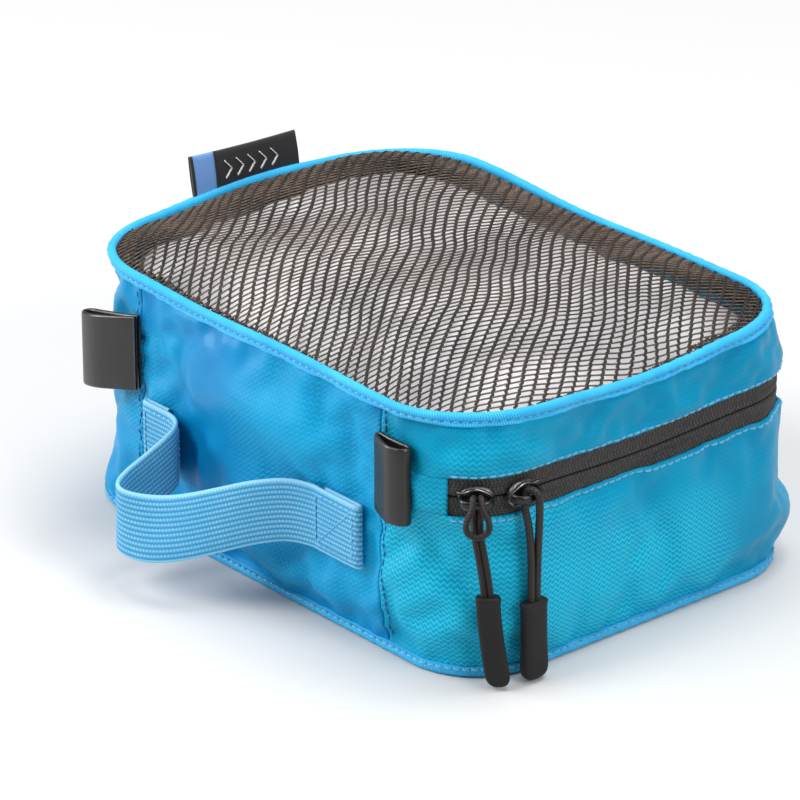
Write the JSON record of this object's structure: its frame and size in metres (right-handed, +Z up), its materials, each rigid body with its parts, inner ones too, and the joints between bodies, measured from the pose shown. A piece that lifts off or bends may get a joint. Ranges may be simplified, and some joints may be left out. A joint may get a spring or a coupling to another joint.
{
  "type": "packing cube",
  "caption": "Small rectangular fabric packing cube with rounded corners, a mesh lid on a fabric hinge, a two-slider zip, a front webbing handle and side loops.",
  "frame": {"origin": "middle of the base, on the surface that the cube stands on", "axes": "+X along the longer sides towards the parked zip sliders, -Y out of the front with the handle, +Z up to the mesh lid"},
  "size_m": [0.1935, 0.1701, 0.096],
  "materials": {
    "blue_fabric": "coated dobby ripstop, soft sheen",
    "blue_binding": "folded binding tape",
    "blue_webbing": "plain-woven webbing",
    "blue_thread": "polyester thread",
    "black_webbing": "ribbed webbing, slightly glossy",
    "netting": "knitted polyester netting",
    "zip_tape": "woven zip tape",
    "zip_coil": "nylon monofilament",
    "slider_metal": "black painted die casting",
    "pull_cord": "braided cord",
    "pull_grip": "moulded soft grip",
    "label_black": "woven label",
    "label_stripe": "woven label"
  },
  "bodies": {
    "base": {"bottom_panel": "blue_fabric", "bottom_binding": "blue_binding", "lower_gusset": "blue_fabric", "front_panel_lower": "blue_fabric", "lower_zip_tape": "zip_tape", "lower_zip_coil": "zip_coil", "zip_end_tab_right": "blue_fabric", "zip_end_tab_left": "blue_fabric", "right_loop": "black_webbing", "left_loop": "black_webbing", "handle_left_anchor": "blue_webbing", "handle_right_anchor": "blue_webbing", "handle_left_box_stitch": "blue_thread", "handle_right_box_stitch": "blue_thread", "handle_left_root": "blue_webbing", "handle_right_root": "blue_webbing"},
    "lid": {"upper_gusset": "blue_fabric", "front_panel_upper": "blue_fabric", "upper_zip_tape": "zip_tape", "upper_zip_coil": "zip_coil", "top_binding": "blue_binding", "mesh_top": "netting"},
    "label": {"label_body": "label_black", "label_stripe": "label_stripe"},
    "handle": {"handle_strap": "blue_webbing"},
    "slider_a": {"slider_a_body": "slider_metal", "slider_a_bridge": "slider_metal"},
    "slider_b": {"slider_b_body": "slider_metal", "slider_b_bridge": "slider_metal"},
    "pull_a": {"pull_a_cord": "pull_cord", "pull_a_grip": "pull_grip"},
    "pull_b": {"pull_b_cord": "pull_cord", "pull_b_grip": "pull_grip"}
  },
  "joints": [
    {"name": "lid_hinge", "type": "hinge", "parent": "base", "child": "lid", "pos_m": [0, -0.0688, 0.057], "axis": [1, 0, 0], "range_deg": [0, 95], "deforming": ["zip_end_tab_right", "zip_end_tab_left", "right_loop", "left_loop"]},
    {"name": "label_fold", "type": "hinge", "parent": "lid", "child": "label", "pos_m": [-0.0916, 0, 0.083], "axis": [0, 1, 0], "range_deg": [-90, 35]},
    {"name": "handle_swing", "type": "hinge", "parent": "base", "child": "handle", "pos_m": [0, -0.0709, 0.035], "axis": [1, 0, 0], "range_deg": [-35, 40], "deforming": ["handle_left_root", "handle_right_root"]},
    {"name": "slider_a_run", "type": "hinge", "parent": "base", "child": "slider_a", "pos_m": [0.0674, -0.0448, 0.057], "axis": [0, 0, 1], "range_deg": [-10, 6]},
    {"name": "slider_b_run", "type": "slide", "parent": "base", "child": "slider_b", "axis": [0, 1, 0], "range_m": [0, 0.086]},
    {"name": "pull_a_swing", "type": "hinge", "parent": "slider_a", "child": "pull_a", "pos_m": [0.09002, -0.06247, 0.057], "axis": [-0.6157, -0.788, 0], "range_deg": [0, 150]},
    {"name": "pull_b_swing", "type": "hinge", "parent": "slider_b", "child": "pull_b", "pos_m": [0.0961, -0.047, 0.057], "axis": [0, -1, 0], "range_deg": [0, 150]}
  ]
}
